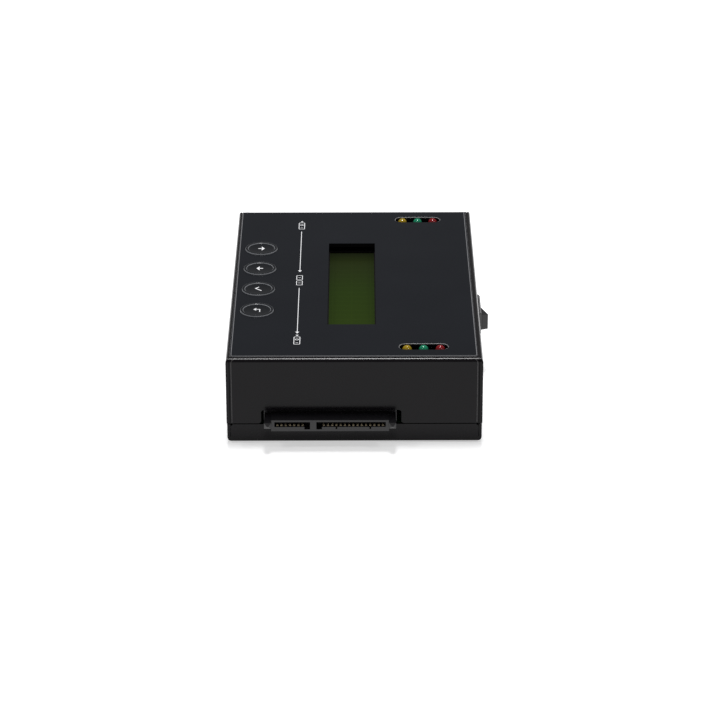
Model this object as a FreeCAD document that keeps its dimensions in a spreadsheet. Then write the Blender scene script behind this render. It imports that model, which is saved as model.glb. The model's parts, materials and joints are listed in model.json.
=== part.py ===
"""Drive duplicator: a desktop box that copies one SATA drive onto another.

+Z is up and the origin is at the middle of the case on the surface it stands on.
The target port is at the -Y end, the source port at the +Y end, and the power
switch and power jack are in the +X side.  All sizes are in millimetres.
"""

import FreeCAD, Part
import math
import os
import Sketcher

SIZES = [
    # the case: a folded cover on a folded tray
    ("case_width", 77.2), ("case_length", 118.4), ("case_height", 28.0),
    ("sheet", 1.0), ("side_bend", 0.2), ("end_bend", 0.2), ("tray_bend", 0.8),
    ("tray_end_bend", 0.1), ("split_gap", 0.35), ("tray_inset", 0.14),
    ("seam_gap", 0.15), ("seam_reach", 0.6), ("seam_corner", 0.8),
    # how far a cut runs past the face that it opens
    ("past", 1.0),
    # square feet pressed into dimples of the tray
    ("foot", 8.0), ("foot_recess", 0.6), ("foot_proud", 0.4), ("foot_play", 0.2),
    ("foot_inset_x", 12.0), ("foot_inset_y", 16.0),
    # hexagonal standoffs, stacked in the corners, and the screws from below
    ("stack_inset_x", 6.0), ("stack_inset_y", 6.5), ("standoff_radius", 2.8),
    ("screw_radius", 1.5), ("screw_end", 0.3), ("tap_play", 0.05), ("hole_play", 0.2),
    # front panel film
    ("film", 0.25), ("film_x", -0.25), ("film_side", 1.45), ("film_end", 1.6),
    ("film_corner", 0.8),
    # display window and the 16 by 2 display module under it
    ("window_x", -0.85), ("window_y", -1.9), ("window_width", 14.9),
    ("window_length", 64.6), ("bezel_side", 5.15), ("bezel_end", 3.3),
    ("bezel_height", 8.0), ("bezel_sheet", 0.5), ("bezel_lip", 0.3), ("bezel_drop", 1.55),
    ("lcd_side", 5.4), ("lcd_end", 4.4), ("lcd_support", 5.0), ("lcd_lift", 2.5),
    ("glass", 2.2), ("glass_play", 0.15), ("header_pitch", 2.54), ("header_inset", 1.8),
    # light slots and their lamps
    ("slot_inset_x", 17.7), ("slot_inset_y", 8.45), ("slot_length", 15.0),
    ("slot_width", 4.5), ("lamp_pitch", 5.0), ("lamp_radius", 1.5), ("lamp_height", 5.3),
    ("lamp_dome", 1.2), ("lamp_tip", 0.7), ("lamp_top", 0.65),
    ("lead_spacing", 2.54), ("lead_width", 0.5), ("lead_play", 0.2),
    # keys
    ("key_inset", 8.4), ("key_y", 1.15), ("key_pitch", 16.45), ("key_radius", 5.2),
    ("key_play", 0.25), ("key_dish", 0.1), ("key_rise", 0.4), ("key_rim", 0.9),
    ("key_depth", 0.9), ("key_travel", 0.35), ("switch_body", 6.0), ("switch_height", 3.5),
    ("stem", 2.8), ("stem_play", 0.15), ("stem_foot", 1.2),
    # boards
    ("pcb", 1.6), ("board_lift", 3.45), ("board_gap", 0.6),
    ("cut_play", 2.4), ("cut_corner", 1.0),
    # drive port: a 22 contact SATA receptacle
    ("port_x", -7.32), ("port_mouth", 4.8), ("port_side", 0.975), ("port_face", 3.6),
    ("port_wall", 0.6), ("port_slot", 1.6), ("port_slot_depth", 6.0),
    ("port_key", 2.4), ("port_key_width", 1.7), ("contact_pitch", 1.27),
    ("contact_gap", 6.35), ("slot_end", 0.85), ("slot_key_end", 2.23),
    ("post_width", 2.33), ("post_side", 0.22), ("post_drop", 0.45), ("post_height", 1.8),
    ("post_reach", 1.8), ("post_tip", 0.8), ("port_base_depth", 5.5),
    ("port_base_height", 4.2), ("port_play", 0.3), ("contact_sheet", 0.25),
    ("contact_width", 0.6), ("contact_lift", 0.1), ("contact_tip", 0.5),
    ("contact_ramp", 0.5), ("contact_rise", 0.2), ("contact_play", 0.05),
    ("contact_clear", 0.3), ("nick_width", 0.5), ("nick_depth", 0.7),
    # cover notch over the port
    ("port_under", 0.05), ("notch_left_play", 0.8), ("notch_right_play", 1.44),
    ("notch_top_play", 0.5), ("notch_corner", 0.8), ("notch_flare", 0.9),
    # power switch
    ("rocker_y", 0.0), ("rocker_z", 16.25), ("rocker_width", 5.0), ("rocker_half", 6.0),
    ("rocker_face", 1.6), ("rocker_angle", 10.5), ("rocker_play", 0.15),
    ("rocker_lip", 0.6), ("rocker_skirt", 1.0), ("rocker_draft", 0.2),
    ("rocker_belly", 2.6), ("rocker_under", 0.6),
    ("trunnion_radius", 1.0), ("trunnion_play", 0.05), ("trunnion_length", 0.45),
    ("housing_end", 0.42), ("housing_side", 0.75), ("housing_depth", 11.0),
    ("housing_play", 0.1), ("frame_end", 0.35), ("frame_side", 0.5),
    ("frame_proud", 1.5), ("frame_bevel", 0.5), ("tab_width", 3.0), ("tab_sheet", 0.8),
    ("tab_reach", 3.0), ("tab_spacing", 6.4),
    # power jack
    ("jack_y", 24.0), ("jack_depth", 14.2), ("jack_width", 9.0), ("jack_height", 11.0),
    ("jack_front", 3.4), ("jack_waist", 0.3), ("jack_round", 0.9), ("jack_axis", 6.5),
    ("jack_bore", 3.15), ("jack_bore_depth", 9.5), ("jack_pin", 1.0),
    ("jack_pin_recess", 0.5), ("jack_hole_radius", 4.0), ("jack_setback", 0.2),
    ("jack_tab", 0.3), ("jack_tab_place", 4.0),
]

# Components of the main board: place in X and Y, then length, width and height
COMPONENTS = [
    ("controller_chip", (0.0, 4.0, 14.0, 14.0, 1.4)),
    ("memory_chip", (-20.0, 4.0, 10.2, 22.2, 1.0)),
    ("firmware_chip", (-2.0, 24.0, 5.3, 5.2, 1.8)),
    ("clock_crystal", (13.0, 16.0, 4.7, 11.4, 3.5)),
    ("power_inductor", (23.5, -14.0, 7.3, 7.3, 4.0)),
]
SIZES += [("%s_%s" % (label, name), size) for label, sizes in COMPONENTS
          for name, size in zip(("x", "y", "length", "width", "height"), sizes)]
SIZES += [("connector_x", -24.0), ("connector_y", -26.0), ("connector_length", 26.0),
          ("connector_width", 5.0), ("can_radius", 3.15), ("can_height", 5.4),
          ("can_inset", 5.4), ("can_y", -17.0), ("can_pitch", 8.0)]
doc = FreeCAD.newDocument("DriveDuplicator")
dims = doc.addObject("Spreadsheet::Sheet", "dims")
for row, (alias, size) in enumerate(SIZES, start=1):
    dims.set("A%d" % row, alias)
    dims.set("B%d" % row, str(size))
    dims.setAlias("B%d" % row, alias)
doc.recompute()

# Places that several pieces share, as expressions of the sheet
SIDE = "dims.case_width / 2"
END = "dims.case_length / 2"
TOP = "dims.case_height"
INNER_SIDE = "(dims.case_width / 2 - dims.sheet)"
INNER_END = "(dims.case_length / 2 - dims.sheet)"
UNDERSIDE = "(dims.case_height - dims.sheet)"
TRAY_SIDE = "(dims.case_width / 2 - dims.tray_inset)"
TRAY_END = "(dims.case_length / 2 - dims.tray_inset)"
FLOOR = "(dims.foot_proud + dims.sheet)"
BOARD_LOW = "(dims.foot_proud + dims.sheet + dims.board_lift)"
BOARD_TOP = "(dims.foot_proud + dims.sheet + dims.board_lift + dims.pcb)"
TRAY_TOP = "(%s - dims.port_under)" % BOARD_TOP
SPLIT = "(%s + dims.split_gap)" % TRAY_TOP
BOARD_SIDE = "(dims.case_width / 2 - dims.tray_inset - dims.sheet - dims.board_gap)"
BOARD_END = "(dims.case_length / 2 - dims.tray_inset - dims.sheet - dims.board_gap)"
BEZEL_TOP = "(%s - dims.bezel_drop)" % UNDERSIDE
LCD_TOP = "(%s - dims.bezel_height)" % BEZEL_TOP
LCD_LOW = "(%s - dims.pcb)" % LCD_TOP
PANEL_TOP = "(%s - dims.lcd_lift)" % LCD_LOW
PANEL_LOW = "(%s - dims.pcb)" % PANEL_TOP
STACK_X = "(dims.case_width / 2 - dims.stack_inset_x)"
STACK_Y = "(dims.case_length / 2 - dims.stack_inset_y)"
BEZEL_WIDTH = "(dims.window_width + 2 * dims.bezel_side)"
BEZEL_LENGTH = "(dims.window_length + 2 * dims.bezel_end)"
LCD_WIDTH = "(%s + 2 * dims.lcd_side)" % BEZEL_WIDTH
LCD_LENGTH = "(%s + 2 * dims.lcd_end)" % BEZEL_LENGTH
SLOT_X = "(dims.case_width / 2 - dims.slot_inset_x)"
SLOT_Y = "(dims.case_length / 2 - dims.slot_inset_y)"
KEY_X = "-(dims.case_width / 2 - dims.key_inset)"
ROCKER_PIVOT = "(dims.case_width / 2 + dims.frame_proud - dims.rocker_face)"
ROCKER_REACH = "sqrt((%s)^2 + dims.rocker_half^2)" % (
    "dims.rocker_face + dims.rocker_half * tan(dims.rocker_angle * 1deg)")
HOUSING_LENGTH = "(2 * (%s + dims.rocker_play + dims.housing_end))" % ROCKER_REACH
HOUSING_WIDTH = "(dims.rocker_width + 2 * dims.rocker_play + 2 * dims.housing_side)"
JACK_FACE = "(%s - dims.jack_setback)" % INNER_SIDE
JACK_AXIS = "(%s + dims.jack_axis)" % BOARD_TOP
LAMP_LOW = "(dims.case_height + dims.lamp_top - dims.lamp_height)"
CORNERS = [(-1, -1), (-1, 1), (1, -1), (1, 1)]
KEYS = ["up", "down", "enter", "back"]
LAMPS = ["yellow", "green", "red"]
HEADER_PINS = 16
SIGNAL_CONTACTS = 7
POWER_CONTACTS = 15
CONTACT_SPAN = "(%d * dims.contact_pitch + dims.contact_gap)" % (
    SIGNAL_CONTACTS + POWER_CONTACTS - 2)
PORT_HALF = "(%s / 2 + dims.slot_end + dims.port_side)" % CONTACT_SPAN
PORT_WIDE = "(%s + dims.post_width)" % PORT_HALF
NOTCH_LEFT = "(dims.port_x - %s - dims.notch_left_play)" % PORT_WIDE
NOTCH_RIGHT = "(dims.port_x + %s + dims.notch_right_play)" % PORT_WIDE
NOTCH_TOP = "(%s + dims.port_base_height + dims.notch_top_play)" % BOARD_TOP
PORT_FLOOR = "(dims.port_face - dims.port_wall - dims.port_slot)"
CONTACT_LOW = "(%s + dims.contact_lift)" % PORT_FLOOR
CONTACT_TOP = "(%s + dims.contact_sheet)" % CONTACT_LOW

sub_parts = []


def value(expression):
    """The number that an expression of the sheet gives now."""
    result = dims.evalExpression(str(expression))
    return float(getattr(result, "Value", result))


def bind(item, **expressions):
    """Tie properties of an object to expressions of the sheet."""
    for name, expression in expressions.items():
        item.setExpression(name, str(expression))
    return item


def put(item, x=0, y=0, z=0):
    """Tie an object's place to expressions of the sheet."""
    for axis, expression in zip("xyz", (x, y, z)):
        item.setExpression("Placement.Base.%s" % axis, str(expression))
    return item


def keep(item, label):
    """Make an object a sub-part, under the name of its file."""
    item.Label = label
    sub_parts.append(item)
    return item


# ---------------------------------------------------------------- sketches

PLANES = {"x": ("YZ_Plane", 1), "y": ("XZ_Plane", -1), "z": ("XY_Plane", 1)}


def rect(left, low, right, high, radius=None):
    """A rectangle, with its corners rounded where a radius is given."""
    corners = [(left, low), (right, low), (right, high), (left, high)]
    return [corner if radius is None else corner + (radius,) for corner in corners]


def centred(x, y, width, height, radius=None):
    """A rectangle about a middle point."""
    return rect("%s - %s / 2" % (x, width), "%s - %s / 2" % (y, height),
                "%s + %s / 2" % (x, width), "%s + %s / 2" % (y, height), radius)


def circle(x, y, radius):
    return ("circle", x, y, radius)


def stadium(x, y, length, width):
    """A slot along the sketch's first axis, with round ends."""
    return ("stadium", x, y, length, width)


def pin_point(sketch, geometry, point, x=None, y=None):
    """Set a point's distance from the sketch's origin."""
    for kind, expression in (("DistanceX", x), ("DistanceY", y)):
        if expression is not None:
            place = Sketcher.Constraint(kind, -1, 1, geometry, point, value(expression))
            index = sketch.addConstraint(place)
            sketch.setExpression("Constraints[%d]" % index, str(expression))


def set_radius(sketch, geometry, expression):
    index = sketch.addConstraint(Sketcher.Constraint("Radius", geometry, value(expression)))
    sketch.setExpression("Constraints[%d]" % index, str(expression))


def draw_circle(sketch, x, y, radius):
    centre = FreeCAD.Vector(value(x), value(y), 0)
    ring = sketch.addGeometry(Part.Circle(centre, FreeCAD.Vector(0, 0, 1), value(radius)))
    pin_point(sketch, ring, 3, x, y)
    set_radius(sketch, ring, radius)


def draw_stadium(sketch, x, y, length, width):
    radius = "(%s) / 2" % width
    left = "%s - (%s) / 2 + %s" % (x, length, radius)
    right = "%s + (%s) / 2 - %s" % (x, length, radius)
    rise = FreeCAD.Vector(0, value(radius), 0)
    near, far = (FreeCAD.Vector(value(side), value(y), 0) for side in (left, right))
    normal = FreeCAD.Vector(0, 0, 1)
    quarter = math.pi / 2
    ends = [sketch.addGeometry(Part.ArcOfCircle(Part.Circle(centre, normal, rise.y), start,
                                                start + math.pi))
            for centre, start in ((near, quarter), (far, -quarter))]
    top = sketch.addGeometry(Part.LineSegment(far + rise, near + rise))
    low = sketch.addGeometry(Part.LineSegment(near - rise, far - rise))
    for first, point, second, other in ((ends[0], 1, top, 2), (ends[0], 2, low, 1),
                                        (ends[1], 1, low, 2), (ends[1], 2, top, 1)):
        sketch.addConstraint(Sketcher.Constraint("Tangent", first, point, second, other))
    pin_point(sketch, ends[0], 3, left, y)
    pin_point(sketch, ends[1], 3, right)
    set_radius(sketch, ends[0], radius)


def corner_arc(sketch, before, here, after, radius):
    """Round a corner; gives the arc and its ends along the path."""
    back = (before - here).normalize()
    ahead = (after - here).normalize()
    half = back.getAngle(ahead) / 2
    trim = radius / math.tan(half)
    centre = here + (back + ahead).normalize() * (radius / math.sin(half))
    entry = here + back * trim
    leave = here + ahead * trim
    angles = [math.atan2(end.y - centre.y, end.x - centre.x) for end in (entry, leave)]
    turns_left = (ahead.cross(back)).z > 0
    start, stop = angles if turns_left else angles[::-1]
    if stop < start:
        stop += 2 * math.pi
    ring = Part.Circle(centre, FreeCAD.Vector(0, 0, 1), radius)
    arc = sketch.addGeometry(Part.ArcOfCircle(ring, start, stop))
    return arc, entry, leave, (1, 2) if turns_left else (2, 1)


def draw_path(sketch, points):
    """A closed loop of lines; a point's third value is the radius that rounds it."""
    spots = [FreeCAD.Vector(value(point[0]), value(point[1]), 0) for point in points]
    count = len(points)
    arcs = {}
    for index, point in enumerate(points):
        if len(point) == 3:
            arcs[index] = corner_arc(sketch, spots[index - 1], spots[index],
                                     spots[(index + 1) % count], value(point[2]))
    lines = []
    for index in range(count):
        following = (index + 1) % count
        start = arcs[index][2] if index in arcs else spots[index]
        stop = arcs[following][1] if following in arcs else spots[following]
        lines.append(sketch.addGeometry(Part.LineSegment(start, stop)))
    level, upright = [], []
    for index, line in enumerate(lines):
        run = spots[(index + 1) % count] - spots[index]
        level.append(abs(run.y) < 1e-7)
        upright.append(abs(run.x) < 1e-7)
        if level[index]:
            sketch.addConstraint(Sketcher.Constraint("Horizontal", line))
            pin_point(sketch, line, 1, y=points[index][1])
        if upright[index]:
            sketch.addConstraint(Sketcher.Constraint("Vertical", line))
            pin_point(sketch, line, 1, x=points[index][0])
    for index, point in enumerate(points):
        before, line = lines[index - 1], lines[index]
        if index in arcs:
            arc, _, _, (first, last) = arcs[index]
            sketch.addConstraint(Sketcher.Constraint("Tangent", before, 2, arc, first))
            sketch.addConstraint(Sketcher.Constraint("Tangent", arc, last, line, 1))
            set_radius(sketch, arc, point[2])
            continue
        sketch.addConstraint(Sketcher.Constraint("Coincident", before, 2, line, 1))
        if not (upright[index] or upright[index - 1]):
            pin_point(sketch, line, 1, x=point[0])
        if not (level[index] or level[index - 1]):
            pin_point(sketch, line, 1, y=point[1])


def sketch_at(body, axis, level, loops):
    """A sketch of closed loops on the body's plane across an axis."""
    role, sign = PLANES[axis]
    plane = next(item for item in body.Origin.OriginFeatures if item.Role == role)
    sketch = body.newObject("Sketcher::SketchObject", body.Name + "_sketch")
    sketch.AttachmentSupport = [(plane, "")]
    sketch.MapMode = "FlatFace"
    sketch.setExpression("AttachmentOffset.Base.z", "%d * (%s)" % (sign, level))
    drawing = {"circle": draw_circle, "stadium": draw_stadium}
    for loop in loops:
        if loop[0] in drawing:
            drawing[loop[0]](sketch, *loop[1:])
        else:
            draw_path(sketch, loop)
    return sketch


# ---------------------------------------------------------------- solids

def new_body(label):
    return keep(doc.addObject("PartDesign::Body", label), label)


def add(body, axis, low, high, *loops):
    """Pad loops from one level to another along an axis."""
    start = low if PLANES[axis][1] > 0 else high
    pad = body.newObject("PartDesign::Pad", body.Name + "_pad")
    pad.Profile = sketch_at(body, axis, start, loops)
    bind(pad, Length="(%s) - (%s)" % (high, low))
    pad.Reversed = False
    return pad


def cut(body, axis, low, high, *loops):
    """Pocket loops from one level to another along an axis."""
    start = high if PLANES[axis][1] > 0 else low
    pocket = body.newObject("PartDesign::Pocket", body.Name + "_pocket")
    pocket.Profile = sketch_at(body, axis, start, loops)
    bind(pocket, Length="(%s) - (%s)" % (high, low))
    pocket.Reversed = False
    return pocket


def dress(body, kind, size, chosen):
    """Round (Radius) or bevel (Size) the edges of a body that a test picks."""
    doc.recompute()
    edges = ["Edge%d" % number for number, edge in enumerate(body.Tip.Shape.Edges, start=1)
             if chosen(edge)]
    feature = body.newObject("PartDesign::" + kind, body.Name + "_" + kind.lower())
    feature.Base = (body.Tip if body.Tip != feature else feature.BaseFeature, edges)
    bind(feature, **{"Radius" if kind == "Fillet" else "Size": size})
    body.Tip = feature
    return feature


def runs_along(edge, axis):
    """Whether a straight edge runs along an axis."""
    if not isinstance(edge.Curve, Part.Line):
        return False
    return abs(abs(edge.tangentAt(edge.FirstParameter)[axis]) - 1) < 1e-6


def near(number, expression):
    return abs(number - value(expression)) < 1e-4


def box(name, x, y, z, length, width, height):
    """A block from its low corner."""
    block = doc.addObject("Part::Box", name)
    bind(block, Length=length, Width=width, Height=height)
    return put(block, x, y, z)


def rod(name, x, y, z, radius, height):
    """An upright cylinder from its lower end."""
    cylinder = doc.addObject("Part::Cylinder", name)
    bind(cylinder, Radius=radius, Height=height)
    return put(cylinder, x, y, z)


def joined(name, *pieces):
    fuse = doc.addObject("Part::MultiFuse", name)
    fuse.Shapes = list(pieces)
    return fuse


def drilled(name, base, tool):
    result = doc.addObject("Part::Cut", name)
    result.Base = base
    result.Tool = tool
    return result


def group(label, pieces):
    """Separate solids of one kind that share a node."""
    compound = doc.addObject("Part::Compound", label)
    compound.Links = pieces
    return keep(compound, label)


def four(x, y):
    """Four places, mirrored about both middle planes."""
    return [("%d * (%s)" % (right, x), "%d * (%s)" % (back, y)) for right, back in CORNERS]


# ---------------------------------------------------------------- case

def end_trim(body, low, high, radius_low, radius_high, end):
    """Round a block's ends across its whole width, as a fold does."""
    clear = "2 * dims.past"
    frame = rect("-(%s) - %s" % (end, clear), "%s - %s" % (low, clear),
                 "%s + %s" % (end, clear), "%s + %s" % (high, clear))
    kept = [("-(%s)" % end, low), (end, low), (end, high), ("-(%s)" % end, high)]
    radii = [radius_low, radius_low, radius_high, radius_high]
    kept = [corner if radius is None else corner + (radius,)
            for corner, radius in zip(kept, radii)]
    cut(body, "x", "-(%s) - dims.past" % SIDE, "%s + dims.past" % SIDE, frame, kept)


def seams():
    """Slits where each end flange is tucked between the side flanges."""
    slits = []
    for right, back in CORNERS:
        outer = "%d * %s" % (right, INNER_SIDE)
        inner = "%d * (%s - dims.seam_gap)" % (right, INNER_SIDE)
        inside = "%d * (%s - dims.seam_reach)" % (back, INNER_END)
        outside = "%d * (%s + dims.past)" % (back, END)
        left, far = (inner, outer) if right > 0 else (outer, inner)
        front, rear = (inside, outside) if back > 0 else (outside, inside)
        slits.append(rect(left, front, far, rear))
    return slits


def key_places():
    """The keys' places, from the display's far end to its near end."""
    for index, name in enumerate(KEYS):
        yield name, KEY_X, "dims.key_y + dims.key_pitch * %s" % (1.5 - index)


def panel_openings():
    """The openings that the cover and its film share."""
    loops = [centred("dims.window_x", "dims.window_y", "dims.window_width",
                     "dims.window_length")]
    for side in (-1, 1):
        loops.append(stadium(SLOT_X, "%d * %s" % (side, SLOT_Y), "dims.slot_length",
                             "dims.slot_width"))
    for _, x, y in key_places():
        loops.append(circle(x, y, "dims.key_radius + dims.key_play"))
    return loops


def make_top_cover():
    cover = new_body("top_cover")
    bend = "dims.side_bend + dims.sheet"
    add(cover, "y", "-(%s) - dims.past" % END, "%s + dims.past" % END,
        [("-(%s)" % SIDE, SPLIT), (SIDE, SPLIT), (SIDE, TOP, bend), ("-(%s)" % SIDE, TOP, bend)])
    end_trim(cover, SPLIT, TOP, None, "dims.end_bend + dims.sheet", END)
    below = "%s - dims.past" % SPLIT
    cut(cover, "y", "-%s" % INNER_END, INNER_END,
        [("-%s" % INNER_SIDE, below), (INNER_SIDE, below),
         (INNER_SIDE, UNDERSIDE, "dims.side_bend"),
         ("-%s" % INNER_SIDE, UNDERSIDE, "dims.side_bend")])
    cut(cover, "z", below, "%s - %s" % (TOP, bend), *seams())
    cut(cover, "z", "%s - dims.past" % UNDERSIDE, "%s + dims.past" % TOP, *panel_openings())
    notch = [(NOTCH_LEFT, below), (NOTCH_RIGHT, below),
             (NOTCH_RIGHT, NOTCH_TOP, "dims.notch_corner"),
             (NOTCH_LEFT, NOTCH_TOP, "dims.notch_corner")]
    within = "(%s - dims.sheet / 2)" % INNER_END
    cut(cover, "y", "-(%s) - dims.past" % END, "-%s" % within, notch)
    cut(cover, "y", within, "%s + dims.past" % END, notch)
    hole = centred("dims.rocker_y", "dims.rocker_z",
                   "(%s + 2 * dims.housing_play)" % HOUSING_LENGTH,
                   "(%s + 2 * dims.housing_play)" % HOUSING_WIDTH)
    cut(cover, "x", "%s - dims.sheet / 2" % INNER_SIDE, "%s + dims.past" % SIDE, hole,
        circle("dims.jack_y", JACK_AXIS, "dims.jack_hole_radius"))
    dress(cover, "Fillet", "dims.notch_flare",
          lambda edge: runs_along(edge, 1) and near(edge.CenterOfMass.z, SPLIT)
          and any(near(edge.CenterOfMass.x, side) for side in (NOTCH_LEFT, NOTCH_RIGHT)))


def foot_places():
    return four("%s - dims.foot_inset_x" % SIDE, "%s - dims.foot_inset_y" % END)


def make_bottom_tray():
    tray = new_body("bottom_tray")
    bend = "dims.tray_bend + dims.sheet"
    low = "dims.foot_proud"
    add(tray, "y", "-(%s) - dims.past" % END, "%s + dims.past" % END,
        [("-%s" % TRAY_SIDE, low, bend), (TRAY_SIDE, low, bend),
         (TRAY_SIDE, TRAY_TOP), ("-%s" % TRAY_SIDE, TRAY_TOP)])
    end_bend = "dims.tray_end_bend + dims.sheet"
    end_trim(tray, low, TRAY_TOP, end_bend, None, TRAY_END)
    over = "%s + dims.past" % TRAY_TOP
    cut(tray, "z", FLOOR, over,
        rect("-(%s - dims.sheet)" % TRAY_SIDE, "-(%s - dims.sheet)" % TRAY_END,
             "%s - dims.sheet" % TRAY_SIDE, "%s - dims.sheet" % TRAY_END, "dims.tray_bend"))
    cut(tray, "z", "%s + %s" % (low, bend), over, *seams())
    nicks = []
    for right in (-1, 1):
        edge = "%d * %s" % (right, INNER_SIDE)
        inner = "%d * (%s - dims.seam_gap - dims.seam_corner)" % (right, INNER_SIDE)
        nicks.append([(edge, over), (edge, "%s - dims.seam_corner" % TRAY_TOP),
                      (inner, TRAY_TOP), (inner, over)])
    within = "(%s - 1.5 * dims.sheet)" % TRAY_END
    cut(tray, "y", "-(%s) - dims.past" % END, "-%s" % within, *nicks)
    cut(tray, "y", within, "%s + dims.past" % END, *nicks)
    feet = foot_places()
    recess = "(dims.foot + 2 * dims.foot_play)"
    dimple = "(dims.foot + 2 * dims.foot_play + 2 * dims.sheet)"
    add(tray, "z", FLOOR, "%s + dims.foot_recess" % FLOOR,
        *[centred(x, y, dimple, dimple) for x, y in feet])
    cut(tray, "z", low, "%s + dims.foot_recess" % low,
        *[centred(x, y, recess, recess) for x, y in feet])
    plane = next(item for item in tray.Origin.OriginFeatures if item.Role == "XY_Plane")
    for x, y in four(STACK_X, STACK_Y):
        sink = tray.newObject("PartDesign::SubtractiveCone", "countersink")
        bind(sink, Radius1="dims.screw_radius + dims.sheet + dims.hole_play",
             Radius2="dims.screw_radius + dims.hole_play", Height="dims.sheet")
        sink.AttachmentSupport = [(plane, "")]
        sink.MapMode = "FlatFace"
        for axis, expression in zip("xyz", (x, y, low)):
            sink.setExpression("AttachmentOffset.Base.%s" % axis, expression)


def make_overlay_film():
    film = new_body("panel_film")
    outline = centred("dims.film_x", 0, "(dims.case_width - 2 * dims.film_side)",
                      "(dims.case_length - 2 * dims.film_end)", "dims.film_corner")
    add(film, "z", TOP, "%s + dims.film" % TOP, outline, *panel_openings())


def make_rubber_feet():
    group("rubber_feet", [
        box("foot", "%s - dims.foot / 2" % x, "%s - dims.foot / 2" % y, 0, "dims.foot",
            "dims.foot", "dims.foot_recess + dims.foot_proud")
        for x, y in foot_places()])


def standoff(x, y, low, high, bore=None):
    """A hexagonal standoff, with a bore up from its lower end where one is given."""
    prism = doc.addObject("Part::Prism", "hexagon")
    prism.Polygon = 6
    bind(prism, Circumradius="dims.standoff_radius", Height="(%s) - (%s)" % (high, low))
    put(prism, x, y, low)
    if bore is None:
        return prism
    well = rod("tapped_bore", x, y, low, "dims.screw_radius + dims.tap_play", bore)
    return drilled("standoff", prism, well)


def make_standoffs():
    """Three standoffs a corner, which clamp the main board and the panel board."""
    corners = four(STACK_X, STACK_Y)
    group("lower_standoffs", [standoff(x, y, FLOOR, BOARD_LOW, "dims.board_lift")
                              for x, y in corners])
    group("middle_standoffs", [standoff(x, y, BOARD_TOP, PANEL_LOW) for x, y in corners])
    group("upper_standoffs", [standoff(x, y, PANEL_TOP, UNDERSIDE) for x, y in corners])


def make_case_screws():
    """Countersunk screws that hold the tray to the lower standoffs."""
    screws = []
    for x, y in four(STACK_X, STACK_Y):
        head = doc.addObject("Part::Cone", "head")
        bind(head, Radius1="dims.screw_radius + dims.sheet", Radius2="dims.screw_radius",
             Height="dims.sheet")
        put(head, x, y, "dims.foot_proud")
        shank = rod("shank", x, y, FLOOR, "dims.screw_radius",
                    "dims.board_lift - dims.screw_end")
        screws.append(joined("case_screw", head, shank))
    group("case_screws", screws)


# ---------------------------------------------------------------- keys

def revolve(body, profile):
    """Turn a half section, drawn in X and Z, about the body's Z axis."""
    axis = next(item for item in body.Origin.OriginFeatures if item.Role == "Z_Axis")
    turned = body.newObject("PartDesign::Revolution", body.Name + "_revolution")
    turned.Profile = sketch_at(body, "y", 0, [profile])
    turned.ReferenceAxis = (axis, [""])
    turned.Angle = 360
    return turned


def make_key(name, x, y):
    """A round key that drops into the panel, with a raised rim and a dished middle."""
    cap = new_body("%s_button" % name)
    low = "-dims.key_depth"
    dish = "dims.film + dims.key_dish"
    rim = "dims.film + dims.key_rise"
    revolve(cap, [
        (0, low), ("dims.key_radius", low), ("dims.key_radius", rim),
        ("dims.key_radius - dims.key_rim", rim),
        ("dims.key_radius - dims.key_rim - dims.key_rise", dish), (0, dish)])
    put(cap, x, y, TOP)

    stem = new_body("%s_switch_stem" % name)
    stem_low = "%s + dims.switch_height - dims.stem_foot" % PANEL_TOP
    stem_top = "%s - dims.key_depth" % TOP
    add(stem, "z", stem_low, stem_top, centred(0, 0, "dims.stem", "dims.stem"))
    put(stem, x, y)


def make_keys():
    bodies = []
    for name, x, y in key_places():
        make_key(name, x, y)
        half = "dims.switch_body / 2"
        shell = box("switch_shell", "%s - %s" % (x, half), "%s - %s" % (y, half), PANEL_TOP,
                    "dims.switch_body", "dims.switch_body", "dims.switch_height")
        depth = "(dims.stem_foot + dims.key_travel + dims.stem_play)"
        well_half = "(dims.stem / 2 + dims.stem_play)"
        well = box("stem_well", "%s - %s" % (x, well_half), "%s - %s" % (y, well_half),
                   "%s + dims.switch_height - %s" % (PANEL_TOP, depth),
                   "2 * %s" % well_half, "2 * %s" % well_half, depth)
        bodies.append(drilled("switch_body", shell, well))
    group("key_switches", bodies)


# ---------------------------------------------------------------- boards

def make_main_board():
    board = new_body("main_board")
    add(board, "z", BOARD_LOW, BOARD_TOP,
        rect("-%s" % BOARD_SIDE, "-%s" % BOARD_END, BOARD_SIDE, BOARD_END))


def make_panel_board():
    """The board under the panel, cut back where the switch and the jack stand."""
    board = new_body("panel_board")
    left = "-%s" % BOARD_SIDE
    inner = "(%s - dims.jack_depth - dims.jack_tab - dims.cut_play)" % JACK_FACE
    low = "(dims.can_y - dims.can_pitch / 2 - dims.can_radius - dims.cut_play)"
    high = "(dims.jack_y + dims.jack_width / 2 + dims.cut_play)"
    add(board, "z", PANEL_LOW, PANEL_TOP, [
        (left, "-%s" % BOARD_END), (BOARD_SIDE, "-%s" % BOARD_END), (BOARD_SIDE, low),
        (inner, low, "dims.cut_corner"), (inner, high, "dims.cut_corner"),
        (BOARD_SIDE, high), (BOARD_SIDE, BOARD_END), (left, BOARD_END)])


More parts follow.
